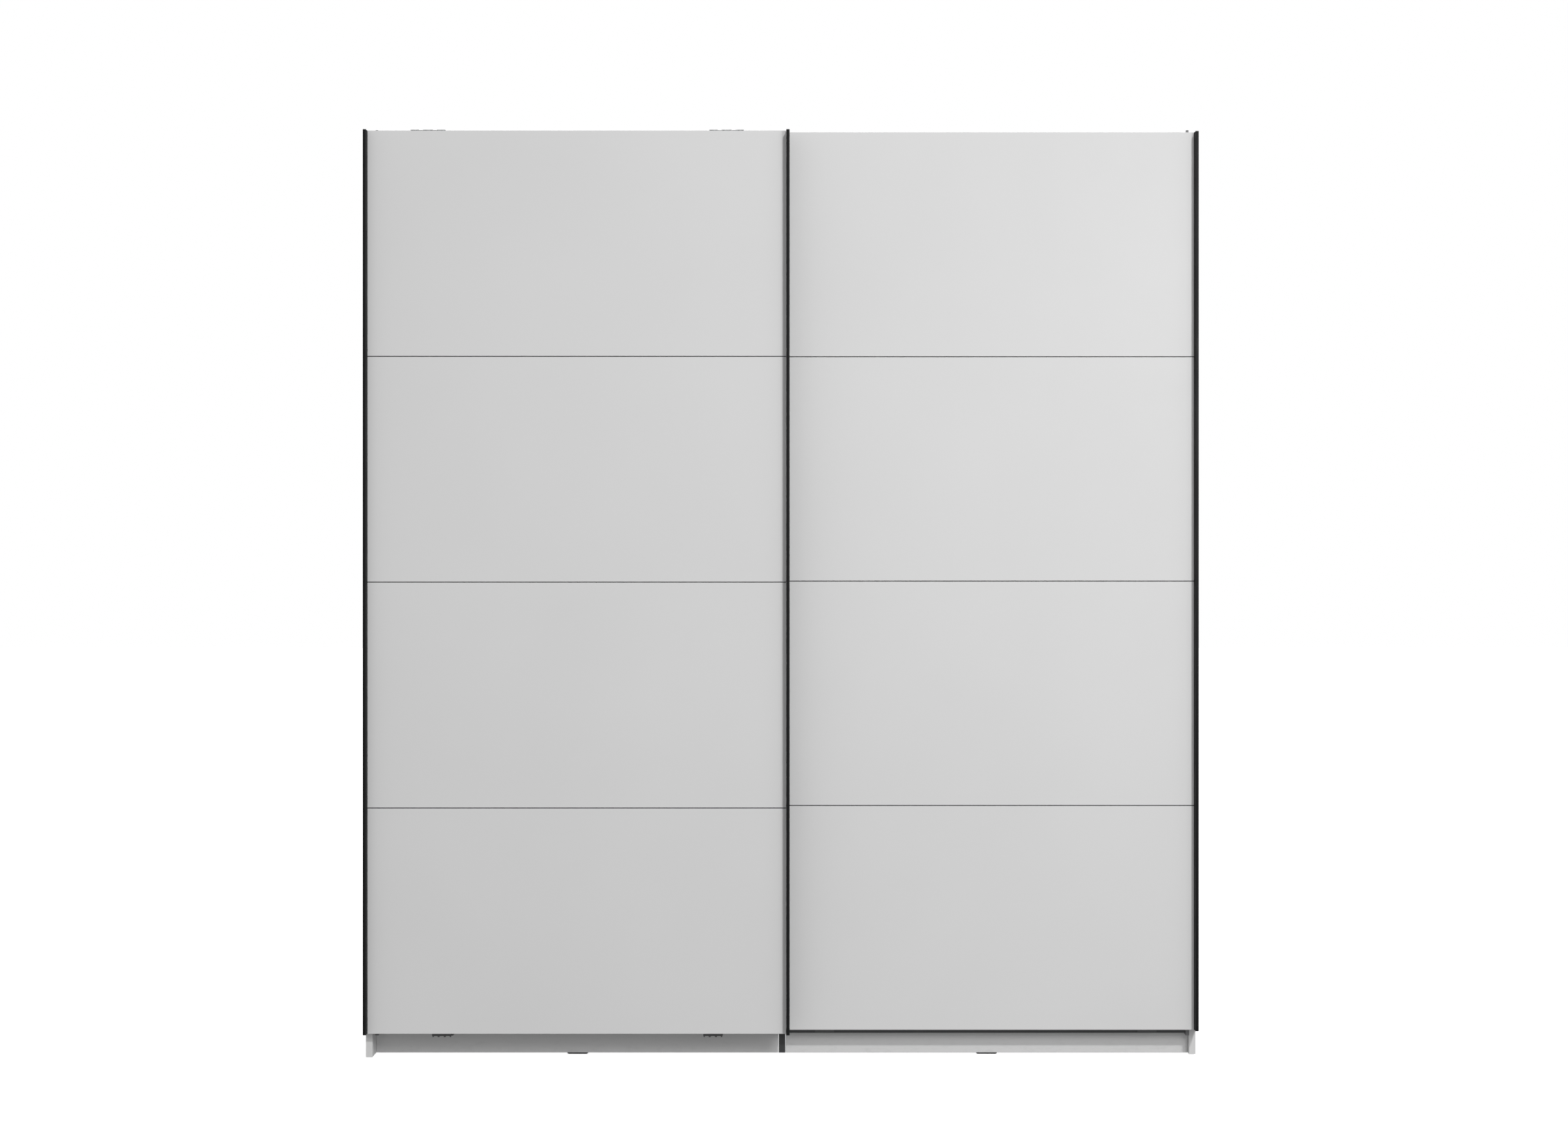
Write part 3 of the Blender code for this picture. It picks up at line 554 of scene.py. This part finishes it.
def make_shelf_pins():
    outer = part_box("side_panel_right")[0].x
    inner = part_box("centre_partition")[1].x
    profile = [(radius * MM, along * MM) for radius, along in (
        (0.0, 0.0), (3.92, 0.0), (3.92, 1.0), (2.352, 1.5), (2.352, 8.0), (1.862, 8.6), (0.0, 8.6))]
    for side, sign in SIDES:
        shape = bmesh.new()
        for wall, way in ((outer, -sign), (inner, sign)):
            for y in PIN_COLUMNS:
                add_turned(shape, [(radius, along * way) for radius, along in profile], "X",
                           (sign * wall, y, PIN_HEIGHT - PIN_DROP), 20)
        pins = new_piece("shelf_pins_" + side, shape, ["zinc"])
        smooth(pins)
        settle(pins, "case", "carriage_steel")


def make_connector_caps():
    """Round caps over the connectors that hold the top boards."""
    profile = [(0.0, 0.1 * MM), (CAP_RADIUS, 0.1 * MM), (CAP_RADIUS, 0.5 * MM),
               (CAP_RADIUS - 0.6 * MM, 1.0 * MM), (CAP_RADIUS - 2.2 * MM, 1.1 * MM),
               (CAP_RADIUS - 2.4 * MM, 0.8 * MM), (0.0, 0.8 * MM)]
    for side, sign in SIDES:
        low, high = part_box("top_board_" + side)
        shape = bmesh.new()
        for x in (low.x + CAP_INSET, high.x - CAP_INSET):
            for y in CAP_ROWS:
                add_turned(shape, profile, "Z", (x, y, high.z), 32)
        caps = new_piece("connector_caps_" + side, shape, ["white_plastic"])
        smooth(caps)
        settle(caps, "case", "white_board")


def oval(width, height, centre_y, centre_z, steps=20):
    """A flat-sided oval in the YZ plane, round at its top and bottom."""
    radius = width / 2
    straight = height / 2 - radius
    return (arc(centre_y, centre_z + straight, radius, 0, 180, steps)
            + arc(centre_y, centre_z - straight, radius, 180, 360, steps))


def make_clothes_rails():
    """The oval tubes, and the cups that hold them, each with two screws."""
    for side, sign in SIDES:
        node = "clothes_rail_" + side
        low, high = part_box(node)
        width, height = high.y - low.y, high.z - low.z
        y, z = (low.y + high.y) / 2, (low.z + high.z) / 2
        outside = oval(width, height, y, z)
        inside = oval(width - 2 * TUBE_WALL, height - 2 * TUBE_WALL, y, z)
        shape = bmesh.new()
        rings = [[shape.verts.new((x, *point)) for point in outline]
                 for outline, x in ((outside, low.x), (outside, high.x), (inside, high.x), (inside, low.x))]
        for ring, following in zip(rings, rings[1:] + rings[:1]):
            for index in range(len(ring)):
                after = (index + 1) % len(ring)
                shape.faces.new((ring[index], ring[after], following[after], following[index]))
        rail = new_piece(node + "_tube", shape, ["chrome"])
        smooth(rail)
        settle(rail, "case", "rail_steel", node)
        for end in ("inner", "outer"):
            cup_node = "rail_cup_%s_%s" % (side, end)
            cup_low, cup_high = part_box(cup_node)
            cup = new_piece(cup_node + "_moulding", cad_shape(cup_node), ["grey_plastic", "grey_plastic"])
            rounded(cup, 0.8 * MM)
            settle(cup, "case", "grey_plastic", cup_node)
            opens = "+X" if (end == "inner") == (sign > 0) else "-X"
            mouth = cup_high.x if opens == "+X" else cup_low.x
            places = [(mouth, y, z - CUP_SCREW_OFFSET), (mouth, y, z + CUP_SCREW_OFFSET)]
            screws("%s_screws" % cup_node, places, opens, SMALL_SCREW, "case")


def make_glides():
    """Plinth glides with low rounded corners, and the pads under the side panels and the partition."""
    for side, sign in SIDES:
        node = "plinth_glide_" + side
        low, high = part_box(node)
        corner = 5 * MM
        corner_height = (high.z - low.z) * 0.8
        outline = [(low.x, high.z)]
        for centre, start in ((low.x + corner, 180), (high.x - corner, 270)):
            for u, v in arc(0.0, 0.0, 1.0, start, start + 90, 8):
                outline.append((centre + corner * u, low.z + corner_height * (1.0 + v)))
        outline.append((high.x, high.z))
        shape = bmesh.new()
        add_prism(shape, outline, "Y", low.y, high.y)
        glide = new_piece(node + "_pad", shape, ["dark_plastic", "dark_plastic"])
        rounded(glide, 0.3 * MM)
        settle(glide, "case", "dark_plastic", node)
    for node in [name for name in frame["nodes"] if "glide" in name and not name.startswith("plinth")]:
        pad = new_piece(node + "_pad", cad_shape(node), ["dark_plastic", "dark_plastic"])
        rounded(pad, 0.3 * MM)
        settle(pad, "case", "dark_plastic", node)


# ---- rails --------------------------------------------------------------------------------------------
def fitting(node, finish, width, segments=2, worn=None):
    """A CAD piece with rounded edges and a better finish."""
    piece = new_piece(node + "_made", cad_shape(node), [finish, worn or finish])
    rounded(piece, width, segments, 1)
    settle(piece, BODY_OF[node], SLOT_OF[node], node)
    return piece


def buffer_pad(name, low, high, body):
    shape = bmesh.new()
    add_box(shape, low, high)
    pad = new_piece(name, shape, ["dark_plastic", "dark_plastic"])
    rounded(pad, 0.6 * MM, 3)
    settle(pad, body, "dark_plastic")


TOP_RAIL_FLOOR = 2.5 * MM       # thickness of the top rail's base
TOP_RAIL_MIDDLE = -238 * MM     # between its two ribs
RAIL_SCREW_PITCH = 230 * MM
RAIL_SCREW_END = 60 * MM
BUFFER_HALF = 8 * MM            # half the width of the end stops' buffers
BUFFER_LOW, BUFFER_HIGH = 6 * MM, 22 * MM   # from the end stops' bottom
BUFFER_GAP = 0.1 * MM


def make_rails():
    fitting("top_running_rail", "aluminium", 0.25 * MM)
    fitting("bottom_guide_rail", "graphite_rail", 0.3 * MM, 2, "graphite_worn")
    low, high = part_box("top_running_rail")
    screw_xs = spaced(low.x + RAIL_SCREW_END, high.x - RAIL_SCREW_END, RAIL_SCREW_PITCH)
    places = [(x, TOP_RAIL_MIDDLE, low.z + TOP_RAIL_FLOOR) for x in screw_xs]
    screws("top_rail_screws", places, "+Z", SCREW, "case")
    for side, sign in SIDES:
        fitting("top_end_stop_" + side, "grey_plastic", 0.8 * MM, 3)
        stop_low, stop_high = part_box("top_end_stop_" + side)
        inner = stop_low.x if sign > 0 else stop_high.x
        x_low, x_high = sorted((inner - sign * BUFFER_GAP, inner - sign * 2.5 * MM))
        buffer_pad("top_stop_buffer_" + side,
                   (x_low, TOP_RAIL_MIDDLE - BUFFER_HALF, stop_low.z + BUFFER_LOW),
                   (x_high, TOP_RAIL_MIDDLE + BUFFER_HALF, stop_low.z + BUFFER_HIGH), "case")
    for side, sign in SIDES:
        fitting("bottom_end_stop_" + side, "grey_plastic", 0.8 * MM, 3)
    for node in [name for name in frame["nodes"] if name.startswith("track_stop")]:
        make_track_stop(node)


def make_track_stop(node):
    """A clip on a rib, with a buffer pad towards its door's carriage."""
    fitting(node, "grey_plastic", 0.7 * MM)
    low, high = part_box(node)
    way = -1 if node.endswith(("front_door_open", "rear_door_closed")) else 1
    face = low.x if way < 0 else high.x
    inset = 2 * MM
    drop = 12 * MM
    x_low, x_high = sorted((face + way * BUFFER_GAP, face + way * 1.7 * MM))
    buffer_pad(node + "_buffer", (x_low, low.y + inset, high.z - drop),
               (x_high, high.y - inset, high.z - inset), "case")


# ---- doors --------------------------------------------------------------------------------------------
INLAY_HALF = 0.9 * MM           # half a strip's width
INLAY_FACE = 0.6 * MM           # its face and back, behind the panel's face
INLAY_BACK = 1.4 * MM
INLAY_END = 0.1 * MM
GRIP_CORNER = 1.6 * MM
CHANNEL_RADIUS = 11.02 * MM     # of the grips' finger channel
CHANNEL_DEPTH = 1.2 * MM
CHANNEL_MIDDLE = 10 * MM        # from the grips' front
GRIP_CAP = 1.5 * MM             # thickness of the caps on their ends
PLATE = 3 * MM                  # of the carriages
WHEEL_TO_PLATE = 4 * MM         # from a front wheel to the drop plate in front of it
NUT_HALF_WIDTH = 7 * MM         # of the adjusters' nut blocks
NUT_HALF_HEIGHT = 6 * MM
NUT_DEPTH = 8 * MM
SHANK_RADIUS, SHANK_DROP = 2.2 * MM, 9 * MM
HEAD_RADIUS, HEAD_HEIGHT = 4.2 * MM, 3.6 * MM
SOCKET_RADIUS, SOCKET_DEPTH = 2 * MM, 2 * MM


def make_inlays(door):
    """Dark strips let into the panel's parting lines, a little below its face."""
    low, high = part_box(door + "_panel")
    for line in range(1, FIELDS):
        z = low.z + (high.z - low.z) * line / FIELDS
        shape = bmesh.new()
        add_box(shape, (low.x + INLAY_END, low.y + INLAY_FACE, z - INLAY_HALF),
                (high.x - INLAY_END, low.y + INLAY_BACK, z + INLAY_HALF))
        inlay = new_piece("%s_inlay_%d" % (door, line), shape, ["graphite", "graphite_worn"])
        rounded(inlay, 0.15 * MM, 2, 1)
        settle(inlay, door, "graphite_profile")


def make_grip(node, door, sign):
    """An extruded grip with a finger channel on its inner side, and a plastic cap at each end.
    sign is the side of the door that it is on."""
    low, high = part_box(node)
    outer = low.x if sign < 0 else high.x
    width = high.x - low.x
    depth = high.y - low.y
    outline = [(0.0, depth)]
    outline += arc(GRIP_CORNER, GRIP_CORNER, GRIP_CORNER, 180, 270)
    outline += arc(width - GRIP_CORNER, GRIP_CORNER, GRIP_CORNER, 270, 360)
    outline += arc(width - CHANNEL_DEPTH + CHANNEL_RADIUS, CHANNEL_MIDDLE, CHANNEL_RADIUS, 207, 153, 10)
    outline.append((width, depth))
    placed = [(outer - sign * u, low.y + v) for u, v in outline]
    shape = bmesh.new()
    add_prism(shape, placed, "Z", low.z + GRIP_CAP, high.z - GRIP_CAP)
    grip = new_piece(node + "_profile", shape, ["graphite", "graphite_worn"])
    smooth(grip, 25.0)
    settle(grip, door, "graphite_profile", node)
    caps = bmesh.new()
    middle = Vector((outer - sign * width / 2, low.y + depth / 2))
    inset = [tuple(middle + (Vector(point) - middle) * 0.985) for point in placed]
    thickness = GRIP_CAP - 0.15 * MM
    add_prism(caps, inset, "Z", low.z, low.z + thickness)
    add_prism(caps, inset, "Z", high.z - thickness, high.z)
    ends = new_piece(node + "_caps", caps, ["dark_plastic"])
    smooth(ends, 25.0)
    settle(ends, door, "dark_plastic")


def make_adjuster(name, centre, back_y, door):
    """A nut block on the carriage's plate between its wheels, with a height screw through it."""
    x, z = centre
    shape = bmesh.new()
    add_box(shape, (x - NUT_HALF_WIDTH, back_y - 0.2 * MM, z - NUT_HALF_HEIGHT),
            (x + NUT_HALF_WIDTH, back_y + NUT_DEPTH, z + NUT_HALF_HEIGHT))
    block = new_piece(name + "_block", shape, ["zinc", "zinc"])
    rounded(block, 0.8 * MM)
    settle(block, door, "carriage_steel")
    shape = bmesh.new()
    end = NUT_HALF_HEIGHT + 0.2 * MM
    top = z + end
    peak = top + HEAD_HEIGHT
    socket_floor = peak - SOCKET_DEPTH
    add_turned(shape, [(0.0, z - SHANK_DROP), (SHANK_RADIUS, z - SHANK_DROP), (SHANK_RADIUS, z - end),
                       (SHANK_RADIUS, top), (HEAD_RADIUS, top), (HEAD_RADIUS, peak - 0.4 * MM),
                       (HEAD_RADIUS - 0.4 * MM, peak), (SOCKET_RADIUS, peak), (SOCKET_RADIUS, socket_floor),
                       (0.0, socket_floor)], "Z", (x, back_y + NUT_DEPTH / 2, 0.0), 24)
    screw = new_piece(name + "_screw", shape, ["bearing"])
    smooth(screw)
    settle(screw, door, "carriage_steel")


def make_carriage(node, door):
    """A carriage's plates, its three screws into the door, and its height adjuster."""
    fitting(node, "zinc", 0.35 * MM)
    low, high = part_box(node)
    x = (low.x + high.x) / 2
    wheel_low, wheel_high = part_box(node.replace("carriage", "wheel") + "_1")
    plate_back = low.y + PLATE
    wheel_plate_back = wheel_low.y - WHEEL_TO_PLATE if door == "left_door" else plate_back
    places = [(x + across * MM, plate_back, low.z + rise * MM)
              for across, rise in ((-29, 10), (29, 10), (0, 22))]
    screws(node + "_screws", places, "+Y", SCREW_FLAT, door)
    adjuster_z = (wheel_low.z + wheel_high.z) / 2 + 1 * MM
    make_adjuster(node + "_adjuster", (x, adjuster_z), wheel_plate_back, door)


def make_wheel(node):
    """A grooved plastic wheel on a steel bearing with a dark seal."""
    low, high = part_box(node)
    centre = (low + high) / 2
    radius, half = (high.z - low.z) / 2, (high.y - low.y) / 2
    bore, race, seal = 3.3 * MM, 5.0 * MM, 7.4 * MM
    edge, lip = 0.7 * MM, 0.5 * MM
    root = radius - 2 * MM
    side = [(bore, half - lip), (race, half - lip), (race, half - 2 * lip), (seal, half - 2 * lip),
            (seal, half - lip), (seal + 1.2 * MM, half - lip), (seal + 1.2 * MM, half),
            (radius - edge, half), (radius, half - edge), (radius, 3 * MM), (root, 2 * MM)]
    other = [(r, -along) for r, along in reversed(side)]
    slots = [1, 1, 0, 1, 1, 0, 0, 0, 0, 0, 0] + [0, 0, 0, 0, 0, 1, 1, 0, 1, 1, 1]
    shape = bmesh.new()
    add_turned(shape, side + other, "Y", centre, 48, True, slots)
    wheel = new_piece(node + "_turned", shape, ["dark_plastic", "bearing"])
    smooth(wheel, 30.0)
    settle(wheel, BODY_OF[node], SLOT_OF[node], node)


GUIDE_PLATE = 2.8 * MM
TONGUE = 4 * MM
TONGUE_TO_RAIL_TOP = 7 * MM
GUIDE_SCREW_X = 14 * MM         # from a guide's middle
GUIDE_SCREW_DROP = 12 * MM      # from its top
STEP_Y = -278 * MM              # where the front guides' arm steps down to pass under the rear door
STEP_DROP = 2.5 * MM
ARM_LOW, ARM_HIGH = 2.6 * MM, 4.3 * MM      # the arm's faces in front of the step, above its beads' bottom
ARM_THICKNESS = 1.7 * MM        # behind the step
BEADS = ((-20.6, 1.7), (-7.4, 3.3), (7.4, 3.3), (20.6, 1.7))    # millimetres: place across, radius


def make_front_guide(node, door):
    """A back plate, an arm with rounded beads under it, and a tongue that runs in the rail's rear groove."""
    low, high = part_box(node)
    bead_bottom = low.z + STEP_DROP
    arm_low, arm_high = bead_bottom + ARM_LOW, bead_bottom + ARM_HIGH
    arm_top = low.z + ARM_THICKNESS
    plate_back = low.y + GUIDE_PLATE
    tongue_front = high.y - TONGUE
    tongue_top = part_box("bottom_guide_rail")[1].z - TONGUE_TO_RAIL_TOP
    outline = [(low.y, arm_low), (STEP_Y - 1.5 * MM, arm_low), (STEP_Y + 1.5 * MM, low.z), (high.y, low.z),
               (high.y, tongue_top), (tongue_front, tongue_top), (tongue_front, arm_top),
               (STEP_Y + 2.4 * MM, arm_top), (STEP_Y + 0.1 * MM, arm_high), (plate_back, arm_high),
               (plate_back, high.z), (low.y, high.z)]
    shape = bmesh.new()
    add_prism(shape, outline, "X", low.x, high.x)
    guide = new_piece(node + "_moulding", shape, ["guide_plastic", "guide_plastic"])
    rounded(guide, 0.4 * MM)
    settle(guide, door, "dark_plastic", node)
    ribs = bmesh.new()
    start, stop = low.y + 0.2 * MM, STEP_Y - 3 * MM
    chamfer = 0.4 * MM
    for across, radius in BEADS:
        radius *= MM
        add_turned(ribs, [(0.0, start), (radius - chamfer, start), (radius, start + chamfer),
                          (radius, stop - chamfer), (radius - chamfer, stop), (0.0, stop)], "Y",
                   ((low.x + high.x) / 2 + across * MM, 0.0, bead_bottom + radius), 20)
    beads = new_piece(node + "_ribs", ribs, ["guide_plastic"])
    smooth(beads)
    settle(beads, door, "dark_plastic")


def make_guide(node, door):
    """A bottom guide and its two screws."""
    if door == "left_door":
        make_front_guide(node, door)
    else:
        fitting(node, "guide_plastic", 0.5 * MM)
    low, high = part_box(node)
    x = (low.x + high.x) / 2
    screw_z = high.z - GUIDE_SCREW_DROP
    places = [(x + sign * GUIDE_SCREW_X, low.y + GUIDE_PLATE, screw_z) for side, sign in SIDES]
    screws(node + "_screws", places, "+Y", SCREW_FLAT, door)


def make_doors():
    for door in DOORS:
        board(door + "_panel", 0.45 * MM)
        make_inlays(door)
        for side, sign in SIDES:
            make_grip("%s_grip_%s" % (door, side), door, sign)
            make_carriage("%s_carriage_%s" % (door, side), door)
            make_guide("%s_guide_%s" % (door, side), door)
    for node in [name for name in frame["nodes"] if "_wheel_" in name]:
        make_wheel(node)


# ---- studio -------------------------------------------------------------------------------------------
CAMERA_PLACE = (0.0046, -6.040, 1.1715)
FOCAL_LENGTH = 54.9             # millimetres, on a sensor 36 mm wide
KEY_PLACE = (5.4, -11.6, 13.1)  # the key makes the shadows; the side lamp lifts the upper right
KEY_POWER = 1106.0              # watts
KEY_SIZE = 0.95                 # metres across
SIDE_PLACE = (1.75, -3.1, 2.0)
SIDE_POWER = 23.5
SIDE_SIZE = 1.0
AIM = (0.0, 0.0, 1.1)           # both lamps look at this point
FILL_BELOW = 0.30               # world light from below the horizon
FILL_ABOVE = 0.51
HORIZON_BLEND = 0.2             # the two mix between these heights of a ray's direction


def make_camera():
    data = bpy.data.cameras.new("camera")
    data.lens = FOCAL_LENGTH
    data.sensor_width = 36.0
    data.clip_end = 100.0
    camera = bpy.data.objects.new("camera", data)
    camera.location = CAMERA_PLACE
    camera.rotation_euler = (math.pi / 2, 0.0, 0.0)
    COLLECTION.objects.link(camera)
    bpy.context.scene.camera = camera


def make_lamp(name, place, power, size):
    data = bpy.data.lights.new(name, "AREA")
    data.shape = "DISK"
    data.size = size
    data.energy = power
    lamp = bpy.data.objects.new(name, data)
    lamp.location = place
    lamp.rotation_euler = (Vector(AIM) - Vector(place)).to_track_quat("-Z", "Y").to_euler()
    lamp.visible_camera = False
    COLLECTION.objects.link(lamp)


def make_lights():
    make_lamp("key", KEY_PLACE, KEY_POWER, KEY_SIZE)
    make_lamp("side", SIDE_PLACE, SIDE_POWER, SIDE_SIZE)
    world = bpy.data.worlds.new("studio")
    bpy.context.scene.world = world
    world.use_nodes = True
    tree = world.node_tree
    fill = tree.nodes["Background"]
    fill.inputs["Color"].default_value = (1, 1, 1, 1)
    split = tree.nodes.new("ShaderNodeSeparateXYZ")
    tree.links.new(tree.nodes.new("ShaderNodeTexCoord").outputs["Generated"], split.inputs["Vector"])
    horizon = tree.nodes.new("ShaderNodeMapRange")
    for name, value in (("From Min", -HORIZON_BLEND), ("From Max", HORIZON_BLEND), ("To Min", FILL_BELOW),
                        ("To Max", FILL_ABOVE)):
        horizon.inputs[name].default_value = value
    tree.links.new(split.outputs["Z"], horizon.inputs["Value"])
    tree.links.new(horizon.outputs["Result"], fill.inputs["Strength"])
    paper = tree.nodes.new("ShaderNodeBackground")
    paper.inputs["Color"].default_value = (1, 1, 1, 1)
    paper.inputs["Strength"].default_value = 1.0
    mix = tree.nodes.new("ShaderNodeMixShader")
    tree.links.new(tree.nodes.new("ShaderNodeLightPath").outputs["Is Camera Ray"], mix.inputs["Fac"])
    tree.links.new(fill.outputs["Background"], mix.inputs[1])
    tree.links.new(paper.outputs["Background"], mix.inputs[2])
    tree.links.new(mix.outputs["Shader"], tree.nodes["World Output"].inputs["Surface"])


def make_floor():
    shape = bmesh.new()
    bmesh.ops.create_grid(shape, x_segments=1, y_segments=1, size=30.0)
    floor = new_piece("floor", shape, [])
    nodes = Nodes("pale_floor", (0.86, 0.86, 0.86), 0.8)
    nodes.shader.inputs["Emission Color"].default_value = (1, 1, 1, 1)
    nodes.shader.inputs["Emission Strength"].default_value = 0.8
    floor.data.materials.append(nodes.material)
    floor.visible_diffuse = False
    floor.visible_glossy = False


def main():
    make_camera()
    make_lights()
    make_floor()
    make_case_boards()
    make_back_fittings()
    make_shelf_pins()
    make_connector_caps()
    make_clothes_rails()
    make_glides()
    make_rails()
    make_doors()
    bpy.context.scene.view_settings.view_transform = "Standard"
    for mesh in (SCREW, SMALL_SCREW, SCREW_FLAT):
        bpy.data.meshes.remove(mesh)


main()
